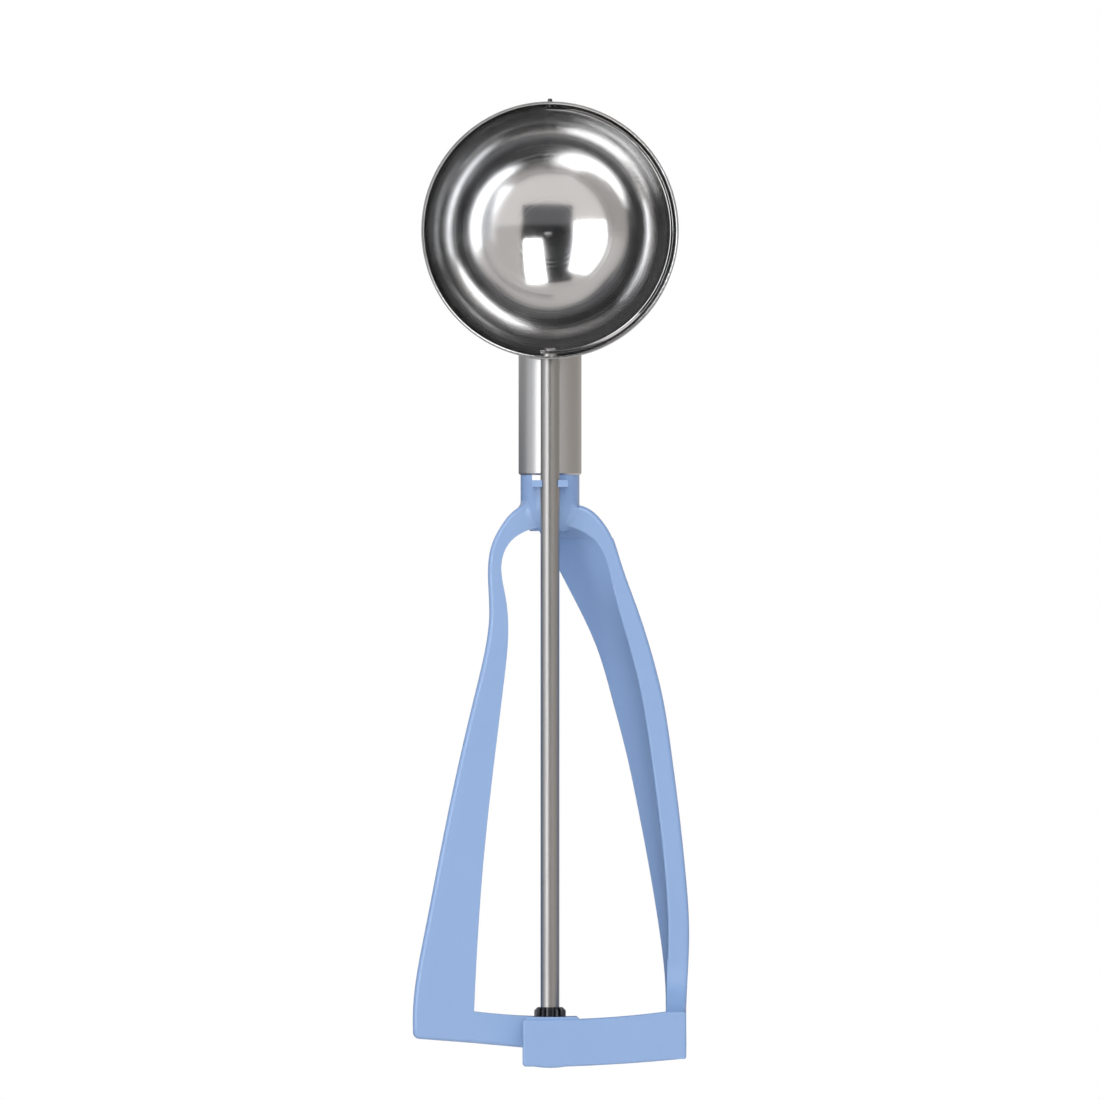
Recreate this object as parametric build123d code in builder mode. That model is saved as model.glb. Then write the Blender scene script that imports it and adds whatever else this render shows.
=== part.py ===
"""Portion scoop: steel bowl and stem, squeeze handle, geared rod and sweeping scraper.

Millimetres. +Z runs up the rod to the bowl, the bowl opens towards -Y, and the origin is on the rod's axis at the
middle of the grip. The finger lever is on the -X side and the palm lever on the +X side.
"""

import math
import os

from build123d import *

# Bowl: a half ball with a short straight collar between the scraper's axis and the rim
bowl_inner_r = 28.0
bowl_wall = 0.6
collar_height = 5.0
rim_round = 0.25

# Scraper blade: half a hoop that just clears the bowl
blade_gap = 0.6
blade_thick = 0.7
blade_width = 8.0
blade_end_width = 4.0
blade_taper = 9.0
blade_heel = 2.1
tip_heel = 0.9
tip_pin_r = 0.5
tip_pin_stand = 0.7
blade_round = 0.15
drill_length = 4.0

# Rod and its fits
rod_r = 2.1
tang_r = 1.3
tang_rise = 0.6
spindle_r = 1.5
running_gap = 0.05
fixing_gap = 0.02

# Stem tube behind the rod
stem_r = 7.0
stem_wall = 0.5
stem_length = 25.7
stem_lip = 0.35
stem_gap = 0.5
weld_gap = 0.05

# Handle moulding: heights from the middle of the grip, and the grip's half width
flex_z = 50.5
flex_half = 5.0
lever_drop = 101.3
grip_half = 31.0
yoke_rise = 12.1
neck_length = 7.0
neck_r = 6.55
neck_blend = 5.5
plug_share = 0.7
lever_depth = 12.0
core_wall = 2.4
core_ribs = 4
core_top = 0.25
rib_thick = 1.6
edge_round = 1.0
inner_round = 0.5
hinge_share = 0.455

# Rod clip on the neck, and the mould window above it
clip_half = 4.0
clip_height = 1.5
clip_lip = 1.3
clip_mouth = 1.75
clip_gap = 0.06
window_height = 1.2

# Pinion, and the rack inside the palm lever's arm
pinion_teeth = 12
flank_points = 6
gear_module = 0.5
pressure_angle = 25.0
tooth_thinning = 0.12
root_clearance = 0.125
pinion_stand = 2.1
pinion_bevel = 0.7
pinion_foot_gap = 1.9
scraper_sweep = 165.0
rack_lead = 1.5
rack_spare = 4
rack_back = 1.2
rack_drop = 1.6
rack_addendum = 0.42
slide_gap = 0.35

# Arms: the palm lever's arm is a channel in front, the finger lever's arm a plate behind it
arm_plate = 2.85
plate_gap = 0.25
front_arm_height = 10.5
front_arm_reach = 6.1
front_arm_dip = 0.5
front_arm_lift = 1.7
front_arm_bow = 0.25
arm_floor = 1.2
floor_boss = 0.3
corner_round = 0.8
plate_round = 0.6
heel_round = 1.5
foot_round = 0.6
arm_bevel = 1.0
toe_step = 0.04
rear_arm_height = 7.0
rear_arm_reach = 6.9
rear_arm_thick = 4.5
rear_arm_lift = 1.0
pocket_spare = 1.2

# Levels and places worked out from the sizes above
bowl_outer_r = bowl_inner_r + bowl_wall
neck_base_z = flex_z + yoke_rise
stem_foot_z = neck_base_z + neck_length
bowl_z = stem_foot_z + stem_length + bowl_outer_r
stem_y = rod_r + stem_gap + stem_r
blade_r = bowl_inner_r - blade_gap
blade_seat_z = bowl_z - blade_r - fixing_gap
arm_top_z = flex_z - lever_drop
pitch_r = gear_module * pinion_teeth / 2
tip_r = pitch_r + gear_module
root_r = pitch_r - gear_module - root_clearance
rack_root_y = pitch_r + gear_module + root_clearance
rack_rear_y = rack_root_y + rack_back
lever_front_y = rack_rear_y + slide_gap
lever_rear_y = lever_front_y + lever_depth
channel_front_y = -tip_r - plate_gap
plate_front_y = channel_front_y - arm_plate
front_arm_top_z = arm_top_z - front_arm_dip
front_arm_foot_z = front_arm_top_z - front_arm_height
floor_z = front_arm_foot_z + arm_floor
pinion_top_z = arm_top_z + pinion_stand
pinion_foot_z = floor_z + pinion_foot_gap
hinge_x = hinge_share * grip_half
palm_hinge = Axis((hinge_x, 0, flex_z), (0, 1, 0))
mesh_z = (floor_z + front_arm_top_z) / 2
mesh_drop = flex_z - mesh_z
rack_travel = math.radians(scraper_sweep) * pitch_r

# Edges of the levers, each point as its share of the lever's drop and its share of the grip's half width
finger_outer = [
    (-0.121, 0.200),
    (-0.103, 0.284),
    (-0.073, 0.358),
    (-0.040, 0.413),
    (0.035, 0.445),
    (0.122, 0.436),
    (0.194, 0.465),
    (0.304, 0.548),
    (0.633, 0.784),
    (0.812, 0.897),
    (0.959, 0.977),
    (1.049, 0.981),
]
finger_inner = [
    (-0.076, 0.000),
    (-0.069, 0.139),
    (-0.038, 0.294),
    (0.005, 0.348),
    (0.080, 0.319),
    (0.151, 0.300),
    (0.262, 0.329),
    (0.647, 0.474),
    (0.850, 0.523),
    (0.990, 0.545),
]
shoulder_front_outer = [
    (-0.122, 0.205),
    (-0.107, 0.316),
    (-0.084, 0.390),
    (-0.060, 0.442),
    (-0.035, 0.476),
    (0.000, 0.511),
]
shoulder_front_inner = [
    (-0.078, 0.000),
    (-0.075, 0.142),
    (-0.055, 0.284),
    (-0.023, 0.381),
    (0.000, 0.408),
]
shoulder_rear_outer = [
    (-0.112, 0.065),
    (0.000, 0.173),
]
shoulder_rear_inner = [
    (-0.073, -0.090),
    (0.000, 0.031),
]

# Level sections of the palm lever: share of the drop, then the shares of the half width at the front outer, front
# inner, rear outer and rear inner edges, and the degrees that the hollow inner side turns at each of its ends
palm_sections = [
    (-0.060, 0.442, 0.272, 0.115, -0.068, 0.2),
    (-0.035, 0.476, 0.352, 0.139, -0.027, 0.2),
    (0.000, 0.511, 0.408, 0.173, 0.031, 4.0),
    (0.049, 0.565, 0.448, 0.252, 0.113, 9.0),
    (0.123, 0.652, 0.510, 0.374, 0.237, 15.0),
    (0.202, 0.732, 0.584, 0.484, 0.348, 18.0),
    (0.301, 0.813, 0.661, 0.574, 0.443, 19.0),
    (0.420, 0.874, 0.723, 0.671, 0.545, 19.0),
    (0.548, 0.927, 0.777, 0.777, 0.634, 19.0),
    (0.676, 0.971, 0.821, 0.879, 0.713, 19.0),
    (0.795, 0.998, 0.844, 0.960, 0.777, 19.0),
    (0.874, 0.995, 0.842, 0.983, 0.812, 15.0),
    (0.987, 0.977, 0.832, 0.977, 0.832, 0.2),
    (1.092, 0.977, 0.832, 0.977, 0.832, 0.2),
]


def edge_points(stations, side, inset=0.0):
    """The points of a lever's edge in X and Z, moved sideways by inset."""
    return [(side * across * grip_half + inset, flex_z - down * lever_drop) for down, across in stations]


def front_plane(y):
    """A plane that faces the user at depth y, with X to the right and Z up."""
    return Plane.XZ.offset(-y)


def save(piece, name):
    """Name a finished piece and write it."""
    piece.part.label = name
    export_step(piece.part, f"parts/{name}.step")


os.makedirs("parts", exist_ok=True)

# Bowl
bowl_axis = Axis((0, 0, bowl_z), (0, 1, 0))
with BuildPart() as bowl:
    with BuildSketch(Plane.XY.offset(bowl_z)):
        with BuildLine():
            CenterArc((0, 0), bowl_inner_r, 0, 90)
            Line((0, bowl_inner_r), (0, bowl_outer_r))
            CenterArc((0, 0), bowl_outer_r, 0, 90)
            Polyline(
                (bowl_outer_r, 0),
                (bowl_outer_r, -collar_height),
                (bowl_inner_r, -collar_height),
                (bowl_inner_r, 0),
            )
        make_face()
    revolve(axis=bowl_axis)
    fillet(bowl.edges().group_by(Axis.Y)[0].sort_by(SortBy.RADIUS)[0], rim_round)
    with Locations((0, 0, bowl_z - bowl_inner_r)):
        Cylinder(rod_r + running_gap, drill_length, mode=Mode.SUBTRACT)
    with Locations((0, 0, bowl_z + bowl_inner_r)):
        Cylinder(tip_pin_r + running_gap, drill_length, mode=Mode.SUBTRACT)
save(bowl, "bowl")

# Stem tube, its upper end cut to sit on the bowl
with BuildPart() as stem_tube:
    with BuildSketch(Plane.XY.offset(stem_foot_z)):
        with Locations((0, stem_y)):
            Circle(stem_r)
    extrude(amount=bowl_z - stem_foot_z)
    chamfer(stem_tube.edges().group_by(Axis.Z)[0], stem_lip)
    with BuildSketch(Plane.XY.offset(stem_foot_z)):
        with Locations((0, stem_y)):
            Circle(stem_r - stem_wall)
    extrude(amount=bowl_z - stem_foot_z, mode=Mode.SUBTRACT)
    with Locations((0, 0, bowl_z)):
        Sphere(bowl_outer_r + weld_gap, mode=Mode.SUBTRACT)
save(stem_tube, "stem_tube")

# Scraper blade: half a hoop, tapered to its two ends, with a tongue for the bowl's top hole
with BuildPart() as scraper_blade:
    with BuildSketch(front_plane(-blade_width / 2)):
        with Locations((0, bowl_z)):
            Circle(blade_r)
            Circle(blade_r - blade_thick, mode=Mode.SUBTRACT)
        with BuildLine():
            Polyline(
                (-blade_heel, bowl_z - blade_r),
                (blade_r, bowl_z - blade_r),
                (blade_r, bowl_z + blade_r),
                (-tip_heel, bowl_z + blade_r),
                (-tip_heel, bowl_z),
                (-blade_heel, bowl_z),
                close=True,
            )
        make_face(mode=Mode.INTERSECT)
    extrude(amount=-blade_width)
    with BuildSketch(Plane.YZ):
        with BuildLine():
            Polyline(
                (-blade_end_width / 2, bowl_z + blade_r),
                (blade_end_width / 2, bowl_z + blade_r),
                (blade_width / 2, bowl_z + blade_r - blade_taper),
                (blade_width / 2, bowl_z - blade_r + blade_taper),
                (blade_end_width / 2, bowl_z - blade_r),
                (-blade_end_width / 2, bowl_z - blade_r),
                (-blade_width / 2, bowl_z - blade_r + blade_taper),
                (-blade_width / 2, bowl_z + blade_r - blade_taper),
                close=True,
            )
        make_face()
    extrude(amount=blade_r, both=True, mode=Mode.INTERSECT)
    fillet(scraper_blade.edges().filter_by(lambda edge: edge.length > blade_taper), blade_round)
    with BuildSketch(Plane.XY.offset(bowl_z + blade_r - blade_thick)):
        Circle(tip_pin_r)
    extrude(amount=blade_thick + blade_gap + bowl_wall + tip_pin_stand)
    fillet(scraper_blade.edges().group_by(Axis.Z)[-1], tip_pin_r / 2)
    with Locations((0, 0, bowl_z - blade_r)):
        Cylinder(tang_r + fixing_gap, drill_length, mode=Mode.SUBTRACT)
save(scraper_blade, "scraper_blade")

# Rod, stepped at its lower end for the pinion and at its upper end for the blade
with BuildPart() as rod:
    with BuildSketch(Plane.XZ):
        with BuildLine():
            Polyline(
                (0, pinion_foot_z),
                (spindle_r, pinion_foot_z),
                (spindle_r, pinion_top_z),
                (rod_r, pinion_top_z),
                (rod_r, blade_seat_z),
                (tang_r, blade_seat_z),
                (tang_r, blade_seat_z + blade_thick + tang_rise),
                (0, blade_seat_z + blade_thick + tang_rise),
                close=True,
            )
        make_face()
    revolve(axis=Axis.Z)
    chamfer(rod.edges().group_by(Axis.Z)[-1], tang_rise / 2)
save(rod, "rod")


def involute(angle):
    """The involute function of an angle in radians."""
    return math.tan(angle) - angle


def tooth_flank(samples):
    """Points up one flank of a pinion tooth, as radius and half angle from the tooth's middle."""
    base_r = pitch_r * math.cos(math.radians(pressure_angle))
    half_at_pitch = (math.pi * gear_module / 2 - tooth_thinning) / (2 * pitch_r)
    half_at_base = half_at_pitch + involute(math.radians(pressure_angle))
    for step in range(samples):
        radius = base_r + (tip_r - base_r) * step / (samples - 1)
        yield radius, half_at_base - involute(math.acos(base_r / radius))


# One tooth of the pinion, its flanks drawn as involutes down to a straight root
flank = list(tooth_flank(flank_points))
left_flank = [(r * math.cos(half), r * math.sin(half)) for r, half in flank]
right_flank = [(x, -y) for x, y in left_flank]
foot_x = root_r * math.cos(flank[0][1]) - root_clearance
with BuildSketch() as pinion_tooth:
    with BuildLine():
        Spline(*left_flank)
        ThreePointArc(left_flank[-1], (tip_r, 0), right_flank[-1])
        Spline(*right_flank)
        Polyline(right_flank[0], (foot_x, right_flank[0][1]), (foot_x, left_flank[0][1]), left_flank[0])
    make_face()

with BuildPart() as pinion:
    with BuildSketch(Plane.XY.offset(pinion_foot_z)):
        Circle(root_r)
        with PolarLocations(0, pinion_teeth):
            add(pinion_tooth.sketch)
        Circle(spindle_r + fixing_gap, mode=Mode.SUBTRACT)
    extrude(amount=pinion_top_z - pinion_foot_z)
    with BuildSketch(Plane.XZ):
        with BuildLine():
            Polyline(
                (tip_r - pinion_bevel, pinion_top_z),
                (tip_r, pinion_top_z - pinion_bevel),
                (tip_r + pinion_bevel, pinion_top_z),
                close=True,
            )
        make_face()
    revolve(axis=Axis.Z, mode=Mode.SUBTRACT)
save(pinion, "pinion")

# Edges of the finger side, and of the core behind it
outer_points = edge_points(finger_outer, -1)
inner_points = edge_points(finger_inner, -1)
heel_point = outer_points[-1]
finger_toe = (inner_points[-1][0], arm_top_z - rear_arm_height + rear_arm_lift)
core_outer = edge_points([row for row in finger_outer[:-1] if row[0] > core_top], -1, core_wall)
core_inner = edge_points([row for row in finger_inner if row[0] > core_top], -1, -core_wall)
core_mid_z = (core_outer[0][1] + core_outer[-1][1]) / 2
rib_pitch = (core_outer[0][1] - core_outer[-1][1]) / core_ribs

# Arm of the finger lever: a plate behind the channel, rounded along its lower front edge
with BuildPart() as finger_arm:
    with BuildSketch(front_plane(lever_front_y)):
        with BuildLine():
            Spline(inner_points[-1], (-rear_arm_reach / 2, arm_top_z), (rear_arm_reach - arm_bevel, arm_top_z))
            Polyline(
                (rear_arm_reach - arm_bevel, arm_top_z),
                (rear_arm_reach, arm_top_z - arm_bevel),
                (rear_arm_reach, arm_top_z - rear_arm_height),
                (-front_arm_reach, arm_top_z - rear_arm_height),
                finger_toe,
                inner_points[-1],
            )
        make_face()
    extrude(amount=-rear_arm_thick)
    arm_foot = (-(rear_arm_reach + grip_half) / 4, lever_front_y, arm_top_z - rear_arm_height + rear_arm_lift / 2)
    fillet(finger_arm.edges().sort_by_distance(arm_foot)[0], edge_round)

# Finger side of the handle: a flat-fronted lever, cored out from behind between ribs, with the arm at its foot
with BuildPart() as finger_side:
    with BuildSketch(front_plane(lever_front_y)) as finger_outline:
        with BuildLine():
            Spline(*outer_points)
            Polyline(heel_point, finger_toe, inner_points[-1])
            Spline(*inner_points)
            Polyline(inner_points[0], (0, neck_base_z), outer_points[0])
        make_face()
        fillet(finger_outline.vertices().sort_by_distance(heel_point)[0], heel_round)
    extrude(amount=-lever_depth)
    for face_y in (lever_front_y, lever_rear_y):
        rim = finger_side.edges().filter_by_position(Axis.Y, face_y, face_y)
        fillet(rim.sort_by_distance((core_outer[0][0], face_y, core_outer[0][1]))[0], edge_round)
    with BuildSketch(front_plane(lever_rear_y)):
        with BuildLine():
            Spline(*core_outer)
            Line(core_outer[-1], core_inner[-1])
            Spline(*core_inner)
            Line(core_inner[0], core_outer[0])
        make_face()
        with Locations((0, core_mid_z)):
            with GridLocations(0, rib_pitch, 1, core_ribs):
                Rectangle(2 * grip_half, rib_thick, mode=Mode.SUBTRACT)
    extrude(amount=lever_depth - core_wall, mode=Mode.SUBTRACT)
    add(finger_arm.part)


def lean(front_share, rear_share):
    """The angle at which a side of the palm lever leans in towards its rear edge."""
    return math.atan2((front_share - rear_share) * grip_half, lever_depth)


def set_out(angle, radius):
    """How far an edge that leans in must stand out, so that it still reaches its place when it is rounded."""
    return radius / math.tan((math.pi / 2 - angle) / 2) - radius


def palm_section(down, front_outer, front_inner, rear_outer, rear_inner, hollow):
    """One level section of the palm lever, hollow on its inner side and with its four edges rounded."""
    inner_turn = math.radians(hollow)
    outer_out = set_out(lean(front_outer, rear_outer), edge_round)
    inner_out = set_out(lean(front_inner, rear_inner) + inner_turn, inner_round)
    front_corner = Vector(front_outer * grip_half + outer_out, lever_front_y)
    rear_corner = Vector(rear_outer * grip_half, lever_rear_y)
    rear_edge = Vector(rear_inner * grip_half - inner_out, lever_rear_y)
    front_edge = Vector(front_inner * grip_half, lever_front_y)
    half_chord = (front_edge - rear_edge) / 2
    middle = rear_edge + half_chord + half_chord.rotate(Axis.Z, 90) * math.tan(inner_turn / 2)
    with BuildSketch(Plane.XY.offset(flex_z - down * lever_drop)) as section:
        with BuildLine():
            Polyline(front_edge, front_corner, rear_corner, rear_edge)
            ThreePointArc(rear_edge, middle, front_edge)
        make_face()
        for corner, radius in (
            (front_corner, edge_round),
            (rear_corner, edge_round),
            (rear_edge, inner_round),
            (front_edge, inner_round),
        ):
            fillet(section.vertices().sort_by_distance(corner)[0], radius)
    return section.sketch


# Toe of the palm lever: comes forward to the arm on a quarter round
palm_foot_z = front_arm_foot_z + front_arm_lift
palm_side_x = palm_sections[-1][1] * grip_half
palm_inner_x = palm_sections[-1][2] * grip_half
toe_top_z = front_arm_top_z + front_arm_lift
toe_sweep = lever_front_y - plate_front_y
toe_rows = palm_sections[-3:]
with BuildPart() as palm_toe:
    with BuildSketch(front_plane(lever_front_y + edge_round)):
        with BuildLine():
            toe_outer = [(row[1] * grip_half - toe_step, flex_z - row[0] * lever_drop) for row in toe_rows]
            toe_inner = [(row[2] * grip_half + toe_step, flex_z - row[0] * lever_drop) for row in toe_rows]
            Polyline(*toe_outer, *reversed(toe_inner), close=True)
        make_face()
    extrude(amount=toe_sweep + edge_round)
    with BuildSketch(Plane.YZ):
        with BuildLine():
            CenterArc((plate_front_y, toe_top_z + toe_sweep), toe_sweep, -90, 90)
            Polyline(
                (lever_front_y, toe_top_z + toe_sweep),
                (lever_front_y + edge_round, toe_top_z + toe_sweep),
                (lever_front_y + edge_round, palm_foot_z),
                (plate_front_y, palm_foot_z),
                (plate_front_y, toe_top_z),
            )
        make_face()
    extrude(amount=2 * grip_half, mode=Mode.INTERSECT)
    bend_y = plate_front_y + toe_sweep * math.sin(math.pi / 4)
    bend_z = toe_top_z + toe_sweep * (1 - math.cos(math.pi / 4))
    toe_edges = palm_toe.edges()
    fillet(
        [
            toe_edges.sort_by_distance((palm_side_x, bend_y, bend_z))[0],
            toe_edges.sort_by_distance((palm_side_x, plate_front_y, (toe_top_z + palm_foot_z) / 2))[0],
            toe_edges.sort_by_distance(((palm_inner_x + palm_side_x) / 2, plate_front_y, toe_top_z))[0],
        ],
        plate_round,
    )

# Rack teeth: one upright tooth at the rod, copied round the palm lever's hinge so that each meets the pinion upright
circular_pitch = math.pi * gear_module
rack_half = (circular_pitch / 2 - tooth_thinning) / 2
flank_slope = math.tan(math.radians(pressure_angle))
rack_tip_half = rack_half - rack_addendum * flank_slope
rack_foot_half = rack_half + (rack_root_y + rack_back / 2 - pitch_r) * flank_slope
rack_count = math.ceil(rack_travel / circular_pitch) + rack_spare
rack_top_z = front_arm_top_z - rack_drop
with BuildPart() as rack_tooth:
    with BuildSketch(Plane.XY.offset(front_arm_foot_z)):
        with BuildLine():
            Polyline(
                (-rack_tip_half, pitch_r - rack_addendum),
                (rack_tip_half, pitch_r - rack_addendum),
                (rack_foot_half, rack_root_y + rack_back / 2),
                (-rack_foot_half, rack_root_y + rack_back / 2),
                close=True,
            )
        make_face()
    extrude(amount=front_arm_height + front_arm_lift)

with BuildPart() as rack:
    for number in range(rack_count):
        turn = math.degrees((number - rack_lead) * circular_pitch / mesh_drop)
        add(rack_tooth.part.rotate(palm_hinge, -turn))
    with BuildSketch(Plane.XY.offset(floor_z)):
        Rectangle(2 * lever_drop, 2 * lever_drop)
    extrude(amount=rack_top_z - floor_z, mode=Mode.INTERSECT)

# The palm lever's arm: a plate in front with a low lip before the pinion, a floor, and the rack's wall behind it
pocket_left = -tip_r - pocket_spare
pocket_right = rack_travel + tip_r + pocket_spare
with BuildPart() as channel:
    with BuildSketch(front_plane(plate_front_y)) as channel_outline:
        with BuildLine():
            Spline(
                (-front_arm_reach, front_arm_top_z),
                (palm_inner_x / 2, front_arm_top_z + front_arm_bow * front_arm_lift),
                (palm_inner_x, toe_top_z),
            )
            Polyline(
                (palm_inner_x, toe_top_z),
                (palm_side_x - edge_round, toe_top_z),
                (palm_side_x - edge_round, palm_foot_z),
            )
            Spline(
                (palm_side_x - edge_round, palm_foot_z),
                (palm_inner_x / 2, front_arm_foot_z + front_arm_bow * front_arm_lift),
                (tip_r, front_arm_foot_z),
            )
            ThreePointArc(
                (tip_r, front_arm_foot_z),
                (0, front_arm_foot_z - floor_boss),
                (-tip_r, front_arm_foot_z),
            )
            Polyline(
                (-tip_r, front_arm_foot_z),
                (-front_arm_reach, front_arm_foot_z),
                (-front_arm_reach, front_arm_top_z),
            )
        make_face()
        fillet(channel_outline.vertices().group_by(Axis.X)[0], corner_round)
    extrude(amount=plate_front_y - rack_rear_y)
    plate_rim = channel.edges().filter_by_position(Axis.Y, plate_front_y, plate_front_y)
    fillet(plate_rim.sort_by(Axis.X)[:-1], plate_round)
    with BuildSketch(front_plane(plate_front_y + plate_round)):
        with BuildLine():
            Polyline(
                (-front_arm_reach + corner_round, mesh_z),
                (-front_arm_reach + corner_round, arm_top_z),
                (rear_arm_reach - arm_bevel, arm_top_z),
                (rear_arm_reach, arm_top_z - arm_bevel),
                (rear_arm_reach, mesh_z),
                close=True,
            )
        make_face()
    extrude(amount=plate_front_y + plate_round - channel_front_y)
    with BuildSketch(Plane.XY.offset(rack_top_z)):
        with Locations(((pocket_left + palm_inner_x) / 2, (channel_front_y + rack_rear_y) / 2)):
            Rectangle(palm_inner_x - pocket_left, rack_rear_y - channel_front_y)
    extrude(amount=front_arm_height, mode=Mode.SUBTRACT)
    with BuildSketch(Plane.XY.offset(floor_z)):
        with Locations(((pocket_left + pocket_right) / 2, (channel_front_y + rack_root_y) / 2)):
            Rectangle(pocket_right - pocket_left, rack_root_y - channel_front_y)
    extrude(amount=front_arm_height, mode=Mode.SUBTRACT)
    add(rack.part)

# Palm side of the handle: a curved blade that leans in towards its rear edge, with a rounded corner at its foot
with BuildPart() as palm_side:
    loft([palm_section(*row) for row in palm_sections])
    add(palm_toe.part)
    add(channel.part)
    with BuildSketch(front_plane(plate_front_y)):
        with BuildLine():
            CenterArc((palm_side_x - foot_round, palm_foot_z + foot_round), foot_round, -90, 90)
            Polyline(
                (palm_side_x, palm_foot_z + foot_round),
                (palm_side_x + foot_round, palm_foot_z + foot_round),
                (palm_side_x + foot_round, palm_foot_z - foot_round),
                (palm_side_x - foot_round, palm_foot_z - foot_round),
                (palm_side_x - foot_round, palm_foot_z),
            )
        make_face()
    extrude(amount=plate_front_y - lever_rear_y, mode=Mode.SUBTRACT)


def shoulder_outline(depth_y, outer, inner, stand_out):
    """The closed outline of the palm side's shoulder at one depth."""
    outer_edge = edge_points(outer, 1, stand_out)
    inner_edge = edge_points(inner, 1)
    with BuildSketch(front_plane(depth_y)) as outline:
        with BuildLine():
            Spline(*outer_edge)
            Line(outer_edge[-1], inner_edge[-1])
            Spline(*inner_edge)
            Line(inner_edge[0], outer_edge[0])
        make_face()
    return outline.sketch


# Shoulder between the neck and the palm lever
with BuildPart() as shoulder:
    shoulder_front = shoulder_outline(lever_front_y, shoulder_front_outer, shoulder_front_inner, edge_round)
    shoulder_rear = shoulder_outline(lever_rear_y, shoulder_rear_outer, shoulder_rear_inner, 0)
    loft([shoulder_front, shoulder_rear], ruled=True)
    front_rim = shoulder.edges().filter_by_position(Axis.Y, lever_front_y, lever_front_y)
    outer_rim, inner_rim = front_rim.sort_by(SortBy.LENGTH)[-1:-3:-1]
    fillet(outer_rim, edge_round)
    fillet(inner_rim, inner_round)

# Neck: plugs into the stem, runs out into the yoke, and carries the rod's clip with the mould window above it
clip_top_z = stem_foot_z - window_height
with BuildPart() as neck:
    with BuildSketch(front_plane(stem_y)):
        with BuildLine():
            Spline(
                (neck_r, neck_base_z),
                (stem_y - lever_front_y, neck_base_z - neck_blend),
                tangents=[(0, -1), (-1, -1)],
            )
            Polyline(
                (stem_y - lever_front_y, neck_base_z - neck_blend),
                (0, neck_base_z - neck_blend),
                (0, stem_foot_z + plug_share * stem_length),
                (stem_r - stem_wall - fixing_gap, stem_foot_z + plug_share * stem_length),
                (stem_r - stem_wall - fixing_gap, stem_foot_z),
                (neck_r, stem_foot_z),
                (neck_r, neck_base_z),
            )
        make_face()
    revolve(axis=Axis((0, stem_y, 0), (0, 0, 1)))
    with BuildSketch(Plane.XY.offset(clip_top_z)):
        with Locations((0, (stem_y - clip_lip) / 2)):
            Rectangle(2 * clip_half, stem_y + clip_lip)
        Circle(rod_r + clip_gap, mode=Mode.SUBTRACT)
        with Locations((0, -clip_lip)):
            Rectangle(2 * clip_mouth, 2 * clip_lip, mode=Mode.SUBTRACT)
    extrude(amount=-clip_height)
    with BuildSketch(Plane.XY.offset(clip_top_z)):
        with Locations((-(clip_half + rod_r) / 2, stem_y)):
            Rectangle(clip_half - rod_r, 2 * stem_r)
    extrude(amount=window_height, mode=Mode.SUBTRACT)

# The moulding is cut at the two thin shoulders, so that each lever can swing, and filled between neck and shoulder
flex_top = Plane.XY.offset(flex_z + flex_half)
flex_foot = Plane.XY.offset(flex_z - flex_half)
with BuildPart() as handle_yoke:
    add(finger_side.part)
    add(shoulder.part)
    split(bisect_by=flex_top, keep=Keep.TOP)
    with BuildSketch(front_plane(lever_front_y)):
        with BuildLine():
            Polyline(
                edge_points(shoulder_front_inner, 1)[0],
                (0, neck_base_z),
                edge_points(shoulder_front_outer, 1)[0],
                close=True,
            )
        make_face()
    extrude(amount=lever_front_y - stem_y)
    add(neck.part)
save(handle_yoke, "handle_yoke")

for side, side_name in ((finger_side, "finger"), (palm_side, "palm")):
    with BuildPart() as flexure:
        add(side.part)
        split(bisect_by=flex_top, keep=Keep.BOTTOM)
        split(bisect_by=flex_foot, keep=Keep.TOP)
    save(flexure, f"{side_name}_flexure")
    with BuildPart() as lever:
        add(side.part)
        split(bisect_by=flex_foot, keep=Keep.BOTTOM)
    save(lever, f"{side_name}_lever")
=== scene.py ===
# %% [markdown]
# # A portion scoop in Blender
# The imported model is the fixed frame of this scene: steel bowl, stem, rod and blade, and a light-blue moulded handle.
# Every piece below is placed in that frame, in metres, so nothing has to be fitted by eye. The bowl opens towards -Y,
# where the camera stands, and +Z runs up the rod from the grip to the bowl.

# %% Load the frame
import math
import bmesh
import bpy
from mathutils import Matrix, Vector
from mathutils.bvhtree import BVHTree
from mathutils.kdtree import KDTree


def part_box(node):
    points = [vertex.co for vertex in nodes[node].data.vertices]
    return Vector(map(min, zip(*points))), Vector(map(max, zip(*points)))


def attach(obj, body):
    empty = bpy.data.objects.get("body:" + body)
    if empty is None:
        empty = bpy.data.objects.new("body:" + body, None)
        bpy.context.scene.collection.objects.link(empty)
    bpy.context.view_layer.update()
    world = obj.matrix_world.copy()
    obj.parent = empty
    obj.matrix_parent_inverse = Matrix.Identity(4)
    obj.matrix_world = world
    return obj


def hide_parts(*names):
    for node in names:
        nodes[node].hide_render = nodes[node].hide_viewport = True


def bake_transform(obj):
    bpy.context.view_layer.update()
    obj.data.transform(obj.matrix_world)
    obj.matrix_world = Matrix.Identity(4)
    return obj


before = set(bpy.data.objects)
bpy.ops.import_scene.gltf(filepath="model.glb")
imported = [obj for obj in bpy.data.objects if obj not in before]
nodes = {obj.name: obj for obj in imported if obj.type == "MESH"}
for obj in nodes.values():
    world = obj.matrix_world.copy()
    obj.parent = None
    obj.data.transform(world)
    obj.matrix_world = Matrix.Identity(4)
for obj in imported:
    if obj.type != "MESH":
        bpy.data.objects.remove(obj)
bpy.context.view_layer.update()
MM = 0.001
print("nodes:", sorted(nodes))


# %% [markdown]
# ## Small helpers
# Colours are written as sRGB hex values, the way they are read off a screen, and Blender's shaders want linear ones.
# Every material is a small tree of nodes, so one function adds a node, sets it up and links it, and another starts a
# material with the three nodes that each one needs.

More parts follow.
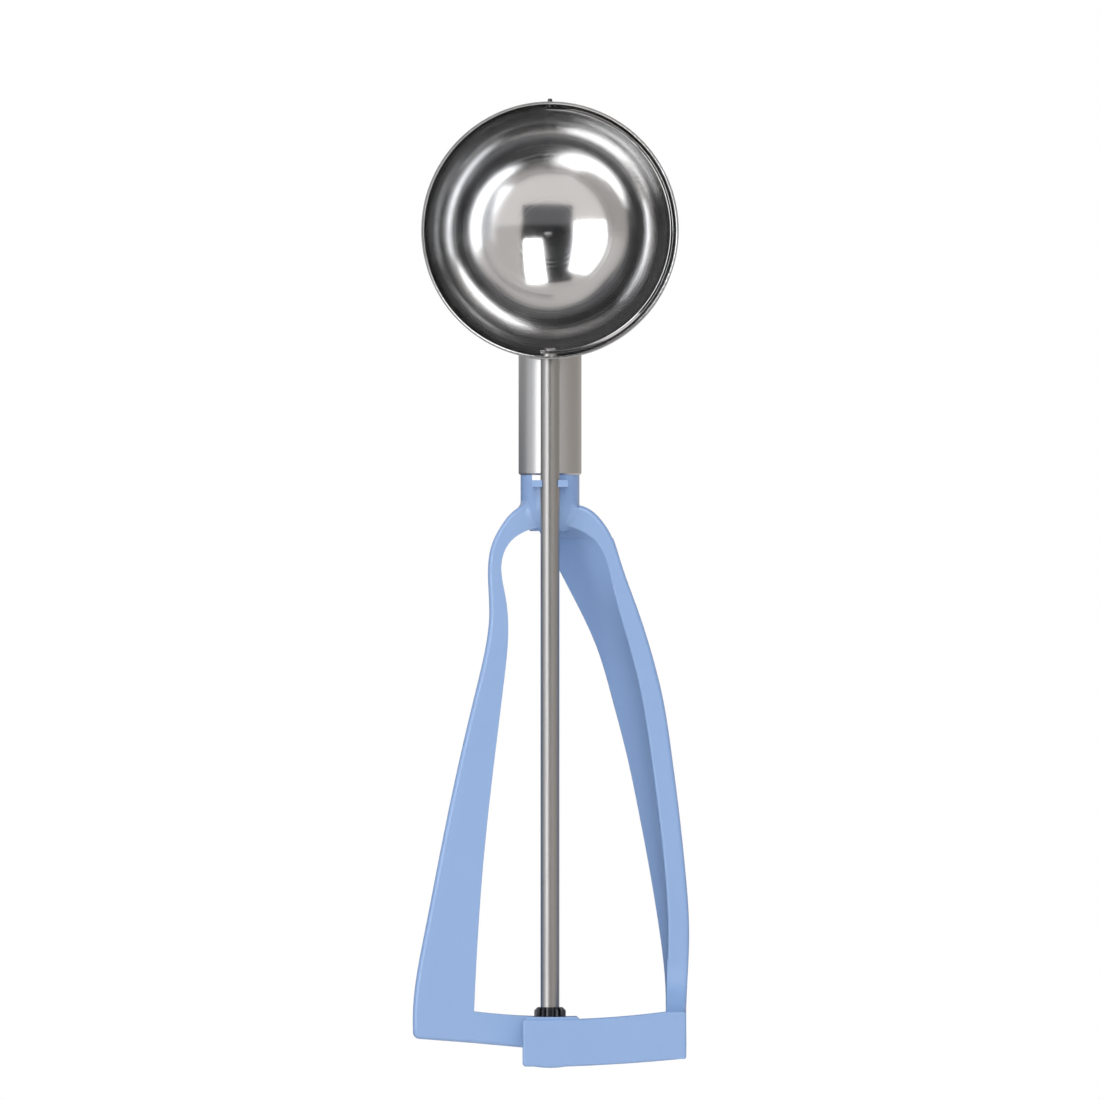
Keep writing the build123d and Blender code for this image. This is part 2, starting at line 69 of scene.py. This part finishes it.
# %% Helpers
def linear(hex_colour):
    """An sRGB hex colour as a linear RGBA tuple."""
    channels = [int(hex_colour[i:i + 2], 16) / 255 for i in (1, 3, 5)]
    return tuple(c / 12.92 if c <= 0.04045 else ((c + 0.055) / 1.055) ** 2.4 for c in channels) + (1.0,)


def add(tree, kind, links=None, inputs=None, **settings):
    """Adds a node: settings are its properties, inputs its values, links its inputs from other nodes' outputs."""
    node = tree.nodes.new(kind)
    for name, value in settings.items():
        setattr(node, name, value)
    for name, value in (inputs or {}).items():
        node.inputs[name].default_value = value
    for name, output in (links or {}).items():
        tree.links.new(output, node.inputs[name])
    return node


def new_material(name):
    """A material with only its output and Principled shader, and the object's own coordinates, in metres."""
    material = bpy.data.materials.new(name)
    material.use_nodes = True
    tree = material.node_tree
    tree.nodes.clear()
    place = add(tree, "ShaderNodeTexCoord")
    shader = add(tree, "ShaderNodeBsdfPrincipled")
    add(tree, "ShaderNodeOutputMaterial", links={"Surface": shader.outputs["BSDF"]})
    return material, tree, place.outputs["Object"], shader


print("linear mid grey:", [round(c, 3) for c in linear("#808080")])

# %% [markdown]
# ## Polished steel: the bowl and the blade
# The bowl is pressed from stainless sheet and polished as it spins, so its lines run in rings round the bowl's axis.
# The blade is cut from polished strip, so its lines run along the hoop. Real polishing lines are too fine to see one
# by one, so these are half a millimetre apart, just coarse enough to streak the reflections. Both come from a
# one-dimensional noise: on the bowl it is fed the distance to the bowl's axis, on the blade the place across the
# strip. A second, wide noise lets the lines fade in and out, as a hand's pressure on the polishing wheel does.

# %% Polished steel
bowl_low, bowl_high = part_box("bowl")
bowl_centre_z = (bowl_low.z + bowl_high.z) / 2
bowl_radius = (bowl_high.x - bowl_low.x) / 2
polish_spacing = 0.5 * MM
smear_size = 9 * MM


def polished_steel(name, keep):
    """Steel with lines at equal distances from the bowl's centre, counting only the axes that keep names."""
    material, tree, place, shader = new_material(name)
    centred = add(tree, "ShaderNodeVectorMath", operation="SUBTRACT", links={0: place})
    centred.inputs[1].default_value = (0, 0, bowl_centre_z)
    kept = add(tree, "ShaderNodeVectorMath", operation="MULTIPLY", links={0: centred.outputs["Vector"]})
    kept.inputs[1].default_value = keep
    away = add(tree, "ShaderNodeVectorMath", operation="LENGTH", links={0: kept.outputs["Vector"]})
    lines = add(tree, "ShaderNodeTexNoise", noise_dimensions="1D", links={"W": away.outputs["Value"]},
                inputs={"Scale": 1 / polish_spacing, "Detail": 2.0})
    smears = add(tree, "ShaderNodeTexNoise", inputs={"Scale": 1 / smear_size, "Detail": 2.0}, links={"Vector": place})
    both = add(tree, "ShaderNodeMath", operation="MULTIPLY",
               links={0: lines.outputs["Fac"], 1: smears.outputs["Fac"]})
    rough = add(tree, "ShaderNodeMapRange", links={"Value": both.outputs["Value"]},
                inputs={"From Min": 0.1, "From Max": 0.45, "To Min": 0.10, "To Max": 0.18})
    bump = add(tree, "ShaderNodeBump", links={"Height": lines.outputs["Fac"]},
               inputs={"Strength": 0.02, "Distance": 0.05 * MM})
    shader.inputs["Metallic"].default_value = 1.0
    tree.links.new(rough.outputs["Result"], shader.inputs["Roughness"])
    tree.links.new(bump.outputs["Normal"], shader.inputs["Normal"])
    return material, tree, place, shader, rough.outputs["Result"]


print("bowl:", round(bowl_radius / MM, 2), "mm radius outside")

# %% [markdown]
# ## The bowl: bright inside, satin outside
# Only the inside of the bowl is polished bright, and the outside keeps a softer satin. Both sides are one mesh, so
# the material tells them apart by place: a point that lies further out than the middle of the wall is on the outside.
# The rim is a short straight collar, so there the distance is measured from the bowl's axis and not from its centre.

# %% Bowl steel
half_wall = 0.3 * MM
satin_roughness = 0.26
bright_steel = linear("#E2E2E2")
bowl_steel, tree, place, shader, polish = polished_steel("polished_stainless_steel", (1, 0, 1))
centred = add(tree, "ShaderNodeVectorMath", operation="SUBTRACT", links={0: place})
centred.inputs[1].default_value = (0, bowl_high.y - bowl_radius, bowl_centre_z)
behind = add(tree, "ShaderNodeVectorMath", operation="MAXIMUM", links={0: centred.outputs["Vector"]})
behind.inputs[1].default_value = (-1, 0, -1)
away = add(tree, "ShaderNodeVectorMath", operation="LENGTH", links={0: behind.outputs["Vector"]})
outside = add(tree, "ShaderNodeMath", operation="GREATER_THAN", links={0: away.outputs["Value"]})
outside.inputs[1].default_value = bowl_radius - half_wall
satin = add(tree, "ShaderNodeMath", operation="MULTIPLY_ADD", links={0: outside.outputs["Value"], 2: polish})
satin.inputs[1].default_value = satin_roughness
tint = add(tree, "ShaderNodeMix", data_type="RGBA", links={"Factor": outside.outputs["Value"]})
tint.inputs["A"].default_value = bright_steel
tint.inputs["B"].default_value = linear("#C8C8C7")
tree.links.new(satin.outputs["Value"], shader.inputs["Roughness"])
tree.links.new(tint.outputs["Result"], shader.inputs["Base Color"])
print("bowl steel:", len(tree.nodes), "nodes")

# %% [markdown]
# ## The blade and its tongue, with painted shade
# The blade's upper end is a small tongue that is pushed through a hole in the bowl. Its steel is painted dark there,
# as painted shade for the dark surroundings that the tongue reflects, where the rest of the strip is bright. Its colour
# changes at a height, read from the blade's own box.

# %% Blade steel
# how far down from the blade's top the painted shade reaches
painted_tongue_length = 2.4 * MM
blade_steel, tree, place, shader, _ = polished_steel("polished_steel_strip", (0, 1, 0))
parts = add(tree, "ShaderNodeSeparateXYZ", links={"Vector": place})
tongue_painted_shade = add(tree, "ShaderNodeMath", operation="GREATER_THAN", links={0: parts.outputs["Z"]})
tongue_painted_shade.inputs[1].default_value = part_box("scraper_blade")[1].z - painted_tongue_length
tint = add(tree, "ShaderNodeMix", data_type="RGBA", links={"Factor": tongue_painted_shade.outputs["Value"]})
tint.inputs["A"].default_value = bright_steel
# painted shade: the tongue's steel colour is darkened to look like a dark reflection
tint.inputs["B"].default_value = linear("#58585A")
tree.links.new(tint.outputs["Result"], shader.inputs["Base Color"])
print("blade steel:", len(tree.nodes), "nodes")

# %% [markdown]
# ## Drawn steel: the stem and the rod
# Tube and rod are drawn through a die, which leaves fine lines along their length. A noise that is stretched along Z
# gives those lines: it changes quickly across the piece and slowly along it. Both pieces are left as they are drawn,
# which gives them a satin shine, and the rod is the darker of the two.

# %% Drawn steel
line_stretch = 120


def drawn_steel(name, colour, line_width, smoothest, roughest):
    """Steel with fine lines along Z, line_width apart."""
    material, tree, place, shader = new_material(name)
    stretch = add(tree, "ShaderNodeMapping", links={"Vector": place})
    stretch.inputs["Scale"].default_value = (1 / line_width, 1 / line_width, 1 / (line_stretch * line_width))
    lines = add(tree, "ShaderNodeTexNoise", inputs={"Scale": 1.0, "Detail": 3.0},
                links={"Vector": stretch.outputs["Vector"]})
    rough = add(tree, "ShaderNodeMapRange", links={"Value": lines.outputs["Fac"]},
                inputs={"From Min": 0.3, "From Max": 0.7, "To Min": smoothest, "To Max": roughest})
    bump = add(tree, "ShaderNodeBump", links={"Height": lines.outputs["Fac"]},
               inputs={"Strength": 0.06, "Distance": 0.04 * MM})
    shader.inputs["Base Color"].default_value = linear(colour)
    shader.inputs["Metallic"].default_value = 1.0
    tree.links.new(rough.outputs["Result"], shader.inputs["Roughness"])
    tree.links.new(bump.outputs["Normal"], shader.inputs["Normal"])
    return material


tube_steel = drawn_steel("satin_drawn_steel_tube", "#C4C3C2", line_width=0.30 * MM, smoothest=0.30, roughest=0.40)
rod_steel = drawn_steel("bright_drawn_steel_rod", "#ADABA9", line_width=0.25 * MM, smoothest=0.34, roughest=0.44)
print("drawn steels:", tube_steel.name, rod_steel.name)

# %% [markdown]
# ## Dark sintered steel: the pinion
# Small gears are pressed from steel powder and steam-treated, which leaves them dark with a fine grain. A noise as
# fine as the grain sets the roughness and a slight bump. The handle's skin is grained too, though much less, so the
# grain is a function.

# %% Pinion steel
def grained(tree, place, shader, grain_size, smoothest, roughest, bump_strength, bump_depth):
    """Gives a material a fine grain in its roughness and its surface."""
    grain = add(tree, "ShaderNodeTexNoise", inputs={"Scale": 1 / grain_size, "Detail": 2.0}, links={"Vector": place})
    rough = add(tree, "ShaderNodeMapRange", links={"Value": grain.outputs["Fac"]},
                inputs={"From Min": 0.3, "From Max": 0.7, "To Min": smoothest, "To Max": roughest})
    bump = add(tree, "ShaderNodeBump", links={"Height": grain.outputs["Fac"]},
               inputs={"Strength": bump_strength, "Distance": bump_depth})
    tree.links.new(rough.outputs["Result"], shader.inputs["Roughness"])
    tree.links.new(bump.outputs["Normal"], shader.inputs["Normal"])


pinion_steel, tree, place, shader = new_material("dark_sintered_steel")
grained(tree, place, shader, grain_size=0.3 * MM, smoothest=0.34, roughest=0.5,
        bump_strength=0.15, bump_depth=0.05 * MM)
shader.inputs["Base Color"].default_value = linear("#5A5B5E")
shader.inputs["Metallic"].default_value = 1.0
print("pinion steel:", len(tree.nodes), "nodes")

# %% [markdown]
# ## Moulded plastic: the handle
# The handle is one moulding in light-blue nylon. Its mould is spark-eroded and then smoothed, so the skin has a soft
# gloss that lights up the rounded edges, and only a trace of grain. The colour drifts very slightly where the plastic
# flowed into the mould, so a wide noise mixes two near blues.

# %% Handle plastic
flow_size = 22 * MM
handle_plastic, tree, place, shader = new_material("satin_moulded_nylon")
grained(tree, place, shader, grain_size=0.45 * MM, smoothest=0.17, roughest=0.23,
        bump_strength=0.012, bump_depth=0.03 * MM)
flow = add(tree, "ShaderNodeTexNoise", inputs={"Scale": 1 / flow_size, "Detail": 2.0}, links={"Vector": place})
tint = add(tree, "ShaderNodeMix", data_type="RGBA", links={"Factor": flow.outputs["Fac"]})
tint.inputs["A"].default_value = linear("#94B2DB")
tint.inputs["B"].default_value = linear("#98B6DF")
shader.inputs["IOR"].default_value = 1.5
tree.links.new(tint.outputs["Result"], shader.inputs["Base Color"])
print("handle plastic:", len(tree.nodes), "nodes")

# %% [markdown]
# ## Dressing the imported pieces
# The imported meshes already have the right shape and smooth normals, so they only change their material.

# %% Dress the pieces
finishes = {
    "bowl": bowl_steel,
    "stem_tube": tube_steel,
    "rod": rod_steel,
    "scraper_blade": blade_steel,
    "pinion": pinion_steel,
    "handle_yoke": handle_plastic,
    "finger_lever": handle_plastic,
    "palm_lever": handle_plastic,
}
for name, material in finishes.items():
    nodes[name].data.materials.clear()
    nodes[name].data.materials.append(material)
print("dressed:", ", ".join(finishes))

# %% [markdown]
# ## The bending shoulders
# In the real handle the two shoulders are the springs: the plastic bends there when the levers are squeezed. A copy of
# each shoulder keeps the imported shape and its normals and takes the handle's plastic, and the imported shoulder is
# hidden.

# %% Bending shoulders
scene = bpy.context.scene


def new_piece(name, data):
    """An object at the origin that shows a mesh, or holds a lamp or a camera."""
    piece = bpy.data.objects.new(name, data)
    scene.collection.objects.link(piece)
    return piece


def bending_shoulder(name, node):
    """A copy of a shoulder in the handle's plastic, which hides the imported one."""
    mesh = nodes[node].data.copy()
    mesh.name = name
    mesh.materials.clear()
    mesh.materials.append(handle_plastic)
    shoulder = new_piece(name, mesh)
    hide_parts(node)
    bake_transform(shoulder)
    print(name, len(mesh.polygons), "faces")


bending_shoulder("palm_shoulder", "palm_flexure")
bending_shoulder("finger_shoulder", "finger_flexure")

# %% [markdown]
# ## The rounded corner of the yoke
# Where the neck runs out into the two shoulders, the real moulding has a generous fillet, and it catches two small
# highlights there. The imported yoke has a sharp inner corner. A fillet could be bevelled, but this corner changes its
# angle all the way round, so it is melted instead: a finely remeshed copy of the yoke is smoothed near the corner,
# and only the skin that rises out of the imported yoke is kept, as a thin closed piece that sits in the corner. First
# the corner is found: it runs along the edges of the yoke where two faces fold towards each other.

# %% Where the corner runs
stem_low, stem_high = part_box("stem_tube")
corner_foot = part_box("handle_yoke")[0].z + 1.0 * MM
corner_top = stem_low.z - 5.0 * MM
same_point = 0.001 * MM
least_turn = math.radians(8)
most_downward = -0.3
sample_step = 0.2 * MM

form = bmesh.new()
form.from_mesh(nodes["handle_yoke"].data)
bmesh.ops.remove_doubles(form, verts=form.verts, dist=same_point)
corner = []
for edge in form.edges:
    start, end = (vert.co for vert in edge.verts)
    if len(edge.link_faces) == 2 and corner_foot < (start.z + end.z) / 2 < corner_top:
        outward = (edge.link_faces[0].normal + edge.link_faces[1].normal).normalized()
        if -edge.calc_face_angle_signed() > least_turn and outward.z > most_downward:
            steps = max(1, math.ceil((end - start).length / sample_step))
            corner.extend(start.lerp(end, step / steps) for step in range(steps + 1))
corner_tree = KDTree(len(corner))
for number, spot in enumerate(corner):
    corner_tree.insert(spot, number)
corner_tree.balance()
packed_skin = BVHTree.FromBMesh(form)
print("corner:", len(corner), "points")

# %% [markdown]
# ### Melting it
# A voxel remesh gives the copy small even faces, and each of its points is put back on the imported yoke, because a
# remesh wanders a little. The Smooth modifier then melts it, most strongly at the corner and not at all further away
# than the fillet reaches.

# %% Melt the corner
fillet_reach = 3.2 * MM
fine_face = 0.25 * MM
melting_steps = 120


def plain_mesh(piece):
    """What a piece's modifiers give, as a mesh of its own."""
    return bpy.data.meshes.new_from_object(piece.evaluated_get(bpy.context.evaluated_depsgraph_get()))


fine_mesh = bpy.data.meshes.new("yoke_fillet")
form.to_mesh(fine_mesh)
form.free()
fillet = new_piece("yoke_fillet", fine_mesh)
finer = fillet.modifiers.new("finer", "REMESH")
finer.mode = "VOXEL"
finer.voxel_size = fine_face
fillet.data = plain_mesh(fillet)
fillet.modifiers.remove(finer)
near = fillet.vertex_groups.new(name="near_corner")
for vert in fillet.data.vertices:
    vert.co = packed_skin.find_nearest(vert.co)[0]
    away = corner_tree.find(vert.co)[2]
    if away < fillet_reach:
        near.add([vert.index], 1 - away / fillet_reach, "REPLACE")
melt = fillet.modifiers.new("melt", "SMOOTH")
melt.factor = 0.5
melt.iterations = melting_steps
melt.vertex_group = near.name
melted = plain_mesh(fillet)
fillet.modifiers.remove(melt)
fillet.vertex_groups.clear()
print("fine copy:", len(melted.polygons), "faces")

# %% [markdown]
# ### Keeping its skin
# Faces that don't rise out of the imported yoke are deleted, and so are points where the rim that is left touches
# itself, because a wall can't close there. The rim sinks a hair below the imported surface, so that no step shows, and
# a wall behind the skin closes the piece.

# %% Keep the fillet's skin
least_rise = 0.006 * MM
rim_sink = 0.02 * MM
skin_depth = 0.3 * MM
sharp_angle = math.radians(50)

skin = bmesh.new()
skin.from_mesh(melted)
rise = {}
for vert in skin.verts:
    spot, facing, _, _ = packed_skin.find_nearest(vert.co)
    rise[vert] = (vert.co - spot).dot(facing)
flat = [face for face in skin.faces if max(rise[vert] for vert in face.verts) < least_rise]
bmesh.ops.delete(skin, geom=flat, context="FACES")
while pinched := [vert for vert in skin.verts if sum(edge.is_boundary for edge in vert.link_edges) > 2]:
    bmesh.ops.delete(skin, geom=pinched, context="VERTS")
skin.normal_update()
for vert in skin.verts:
    if vert.is_boundary:
        vert.co -= rim_sink * vert.normal
bmesh.ops.solidify(skin, geom=skin.faces[:], thickness=skin_depth)
fillet_mesh = bpy.data.meshes.new("yoke_fillet")
skin.to_mesh(fillet_mesh)
skin.free()
fillet_mesh.shade_smooth()
fillet_mesh.set_sharp_from_angle(angle=sharp_angle)
fillet_mesh.materials.append(handle_plastic)
fillet.data = fillet_mesh
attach(fillet, "frame")
print("fillet:", len(fillet_mesh.polygons), "faces, highest rise", round(max(rise.values()) / MM, 2), "mm")

# %% [markdown]
# ## The weld under the bowl
# The stem is welded to the back of the bowl, with a small bead all round the joint. The bead could be a curve drawn
# by hand, but it follows a rule: each point of a circle of the stem's size is lifted onto the ball. So a Geometry
# Nodes tree makes it from the two radii, with a named input for each size.

# %% Weld sizes
sizes = {
    "Stem Radius": (stem_high.x - stem_low.x) / 2,
    "Stem Depth": (stem_low.y + stem_high.y) / 2,
    "Ball Radius": bowl_radius,
    "Ball Height": bowl_centre_z,
    "Bead Radius": 0.35 * MM,
}
weld_tree = bpy.data.node_groups.new("weld_bead", "GeometryNodeTree")
identifiers = {}
for size in sizes:
    socket = weld_tree.interface.new_socket(size, in_out="INPUT", socket_type="NodeSocketFloat")
    identifiers[size] = socket.identifier
weld_tree.interface.new_socket("Geometry", in_out="OUTPUT", socket_type="NodeSocketGeometry")
given = add(weld_tree, "NodeGroupInput").outputs
print("weld inputs:", ", ".join(sizes))

# %% The line of the joint
points_round_stem = 96
round_stem = add(weld_tree, "GeometryNodeCurvePrimitiveCircle", inputs={"Resolution": points_round_stem},
                 links={"Radius": given["Stem Radius"]})
point = add(weld_tree, "GeometryNodeInputPosition")
parts = add(weld_tree, "ShaderNodeSeparateXYZ", links={"Vector": point.outputs["Position"]})
depth = add(weld_tree, "ShaderNodeMath", operation="ADD", links={0: parts.outputs["Y"], 1: given["Stem Depth"]})
on_plan = add(weld_tree, "ShaderNodeCombineXYZ", links={"X": parts.outputs["X"], "Y": depth.outputs["Value"]})
reach = add(weld_tree, "ShaderNodeVectorMath", operation="DOT_PRODUCT",
            links={0: on_plan.outputs["Vector"], 1: on_plan.outputs["Vector"]})
squared = add(weld_tree, "ShaderNodeMath", operation="MULTIPLY",
              links={0: given["Ball Radius"], 1: given["Ball Radius"]})
under = add(weld_tree, "ShaderNodeMath", operation="SUBTRACT",
            links={0: squared.outputs["Value"], 1: reach.outputs["Value"]})
drop = add(weld_tree, "ShaderNodeMath", operation="SQRT", links={0: under.outputs["Value"]})
height = add(weld_tree, "ShaderNodeMath", operation="SUBTRACT",
             links={0: given["Ball Height"], 1: drop.outputs["Value"]})
on_ball = add(weld_tree, "ShaderNodeCombineXYZ", links={
    "X": parts.outputs["X"], "Y": depth.outputs["Value"], "Z": height.outputs["Value"]})
joint_line = add(weld_tree, "GeometryNodeSetPosition", links={
    "Geometry": round_stem.outputs["Curve"], "Position": on_ball.outputs["Vector"]})
print("joint line:", points_round_stem, "points")

# %% Weld bead
points_round_bead = 12
bead_round = add(weld_tree, "GeometryNodeCurvePrimitiveCircle", inputs={"Resolution": points_round_bead},
                 links={"Radius": given["Bead Radius"]})
bead = add(weld_tree, "GeometryNodeCurveToMesh", links={
    "Curve": joint_line.outputs["Geometry"], "Profile Curve": bead_round.outputs["Curve"]})
smooth = add(weld_tree, "GeometryNodeSetShadeSmooth", links={"Geometry": bead.outputs["Mesh"]})
real = add(weld_tree, "GeometryNodeRealizeInstances", links={"Geometry": smooth.outputs["Geometry"]})
coated = add(weld_tree, "GeometryNodeSetMaterial", inputs={"Material": tube_steel},
             links={"Geometry": real.outputs["Geometry"]})
add(weld_tree, "NodeGroupOutput", links={"Geometry": coated.outputs["Geometry"]})

weld = new_piece("stem_weld", bpy.data.meshes.new("stem_weld"))
maker = weld.modifiers.new("bead", "NODES")
maker.node_group = weld_tree
for size, value in sizes.items():
    maker[identifiers[size]] = value
weld_mesh = plain_mesh(weld)
weld.modifiers.remove(maker)
weld.data = weld_mesh
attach(weld, "frame")
print("weld bead:", len(weld_mesh.polygons), "faces")

# %% [markdown]
# ## The camera
# The photo is taken from straight in front and from far away, so nothing in it looks tapered. A long lens does the
# same: the camera stands six metres off, and its lens is as long as it takes to fill the frame.

# %% Camera
photo_size = 1100
origin_row = 788
px_per_mm = 4.5
view_distance = 6.0
frame_width = photo_size / px_per_mm * MM
camera_data = bpy.data.cameras.new("camera")
camera_data.sensor_width = 36.0
camera_data.lens = camera_data.sensor_width * view_distance / frame_width
camera = new_piece("camera", camera_data)
camera.location = (0, -view_distance, (origin_row - photo_size / 2) / px_per_mm * MM)
camera.rotation_euler = (math.radians(90), 0, 0)
scene.camera = camera
print("lens:", round(camera_data.lens, 1), "mm")


# %% [markdown]
# ## White world and pale floor
# The scoop hangs in front of white. White lamps would bleach the plastic, so the world is white only where the camera
# or a mirror looks at it, and lights the scoop with a soft, slightly blue light. The floor lies some way below. It
# takes the scoop's shadow like any matt floor, and for the camera it also glows a little, more with distance, so that
# it looks as white as the world. Mirrors see it as a warm pale grey.

# %% White world
def looks(tree):
    """Two masks: where the camera looks straight at a surface, and where it looks by way of a mirror or glass."""
    seen = add(tree, "ShaderNodeLightPath")
    mirrored = add(tree, "ShaderNodeMath", operation="MAXIMUM",
                   links={0: seen.outputs["Is Glossy Ray"], 1: seen.outputs["Is Transmission Ray"]})
    return seen.outputs["Is Camera Ray"], mirrored.outputs["Value"]


scene.view_settings.view_transform = "Standard"
soft_light = linear("#8290AE")
world = bpy.data.worlds.new("white_studio")
scene.world = world
world.use_nodes = True
tree = world.node_tree
tree.nodes.clear()
straight, mirrored = looks(tree)
shown = add(tree, "ShaderNodeMath", operation="MAXIMUM", links={0: straight, 1: mirrored})
shade = add(tree, "ShaderNodeMix", data_type="RGBA", links={"Factor": shown.outputs["Value"]})
shade.inputs["A"].default_value = soft_light
shade.inputs["B"].default_value = (1, 1, 1, 1)
sky = add(tree, "ShaderNodeBackground", links={"Color": shade.outputs["Result"]})
add(tree, "ShaderNodeOutputWorld", links={"Surface": sky.outputs["Background"]})
print("world: white when seen, soft light", [round(c, 2) for c in soft_light[:3]])

# %% Floor paint
floor_paint = bpy.data.materials.new("pale_floor")
floor_paint.use_nodes = True
tree = floor_paint.node_tree
tree.nodes.clear()
straight, mirrored = looks(tree)
matt = add(tree, "ShaderNodeBsdfDiffuse")
matt.inputs["Color"].default_value = linear("#F2ECE6")
place = add(tree, "ShaderNodeTexCoord").outputs["Object"]
away = add(tree, "ShaderNodeVectorMath", operation="LENGTH", links={0: place})
whiter = add(tree, "ShaderNodeMapRange", links={"Value": away.outputs["Value"]},
             inputs={"From Min": 0.4, "From Max": 1.2, "To Min": 0.55, "To Max": 1.0})
lift = add(tree, "ShaderNodeEmission", links={"Strength": whiter.outputs["Result"]})
lift.inputs["Color"].default_value = (1, 1, 1, 1)
lifted = add(tree, "ShaderNodeAddShader", links={0: matt.outputs["BSDF"], 1: lift.outputs["Emission"]})
bare = add(tree, "ShaderNodeMixShader", links={
    "Fac": straight, 1: matt.outputs["BSDF"], 2: lifted.outputs["Shader"]})
pale = add(tree, "ShaderNodeEmission")
pale.inputs["Color"].default_value = linear("#E6E2DF")
cover = add(tree, "ShaderNodeMixShader", links={
    "Fac": mirrored, 1: bare.outputs["Shader"], 2: pale.outputs["Emission"]})
add(tree, "ShaderNodeOutputMaterial", links={"Surface": cover.outputs["Shader"]})
print("floor paint:", len(tree.nodes), "nodes")

# %% Pale floor
floor_drop = 0.25
floor_half = 6.0


def flat_sheet(name, half_width, half_height, lift, paint):
    """A rectangle in the XY plane, lifted along Z, that isn't part of the scoop."""
    w, h = half_width, half_height
    mesh = bpy.data.meshes.new(name)
    mesh.from_pydata([(-w, -h, lift), (w, -h, lift), (w, h, lift), (-w, h, lift)], [], [(0, 1, 2, 3)])
    mesh.materials.append(paint)
    sheet = new_piece(name, mesh)
    return sheet


flat_sheet("floor", floor_half, floor_half, -floor_drop, floor_paint)
print("floor at", -floor_drop, "m")


# %% [markdown]
# ## Lamps and cards
# Polished steel shows nothing but its surroundings, so the studio matters as much as the steel. The bowl shows a tall
# softbox above the camera, a wide one on the left, a dark space round the camera, a shaded table and warm grey walls.
# Lamps could stand for all of these, but they would light the plastic too. So the surroundings are cards that only
# reflections see, and two lamps that reflections don't see give the plain soft light, from the front and from behind.
# Each panel is given as the range of directions that it fills, in degrees, seen from the bowl.

# %% Placing a panel
def direction(azimuth, elevation):
    """A direction seen from the bowl: azimuth 0 is the camera's side and 90 is the right."""
    a, e = math.radians(azimuth), math.radians(elevation)
    return Vector((math.sin(a) * math.cos(e), -math.cos(a) * math.cos(e), math.sin(e)))


def span(azimuths, elevations, distance):
    """Where a flat panel stands and how large it is, to fill a range of directions."""
    out = direction(sum(azimuths) / 2, sum(elevations) / 2)
    width = 2 * distance * math.tan(math.radians(azimuths[1] - azimuths[0]) / 2)
    height = 2 * distance * math.tan(math.radians(elevations[1] - elevations[0]) / 2)
    turn = out.to_track_quat("Z", "Y").to_euler()
    return Vector((0, 0, bowl_centre_z)) + distance * out, turn, width, height


print("towards the camera:", direction(0, 0)[:])


# %% Lamps
def lamp(name, azimuths, elevations, radiance, colour, distance=2.2):
    """A rectangular lamp that reflections don't show. Radiance is how bright its face is, where 1 is white."""
    where, turn, width, height = span(azimuths, elevations, distance)
    lamp_data = bpy.data.lights.new(name, "AREA")
    lamp_data.shape = "RECTANGLE"
    lamp_data.size = width
    lamp_data.size_y = height
    lamp_data.color = linear(colour)[:3]
    lamp_data.energy = radiance * math.pi * width * height
    light = new_piece(name, lamp_data)
    light.location = where
    light.rotation_euler = turn
    light.visible_glossy = False
    light.visible_camera = False
    print(name, round(lamp_data.energy, 1), "W")


lamp("front_light", (-40, 26), (-8, 52), 2.08, "#FFFBF0")
lamp("back_light", (163, 197), (-10, 40), 3.0, "#FFFBF0")


# %% Cards
def card(name, azimuths, elevations, colour, brightness=1.0, distance=2.6):
    """A studio card that only reflections show."""
    where, turn, width, height = span(azimuths, elevations, distance)
    paint = bpy.data.materials.new(name)
    paint.use_nodes = True
    paint.node_tree.nodes.clear()
    glow = add(paint.node_tree, "ShaderNodeEmission", inputs={"Strength": brightness})
    glow.inputs["Color"].default_value = linear(colour)
    add(paint.node_tree, "ShaderNodeOutputMaterial", links={"Surface": glow.outputs["Emission"]})
    sheet = flat_sheet(name, width / 2, height / 2, 0, paint)
    sheet.location = where
    sheet.rotation_euler = turn
    sheet.visible_camera = False
    sheet.visible_diffuse = False
    sheet.visible_shadow = False
    sheet.visible_transmission = False
    print(name, round(width, 2), "by", round(height, 2), "m")


card("tall_softbox", (7, 25), (7, 49), "#FFFFFF", 3.4, distance=2.2)
card("left_softbox", (-54, -22), (-14, 38), "#FBFCFF", 3.2, distance=2.2)
card("camera_space", (-21, 27), (-24, 49), "#2A2A2B", distance=2.6)
card("table_shade", (-21, 26), (-26, -6), "#68686B", distance=0.4)
card("front_wall", (-58, 58), (-30, 70), "#C6C1BE", distance=3.2)
card("left_wall", (-98, -57), (-45, 45), "#E6EAF0", 0.9, distance=2.8)
card("left_back_wall", (195, 262), (-60, 60), "#D0CCC8", distance=3.2)
card("back_table_shade", (190, 266), (-60, -4), "#5E6674", distance=0.4)
card("right_wall", (58, 128), (-60, 60), "#B0AAA4", distance=3.0)
card("right_back_wall", (128, 165), (-60, 60), "#C8C3BE", distance=3.2)
card("back_wall", (165, 195), (-60, 60), "#6E6E70", distance=3.2)
card("ceiling", (-40, 40), (66, 114), "#4A4A4C", distance=3.0)
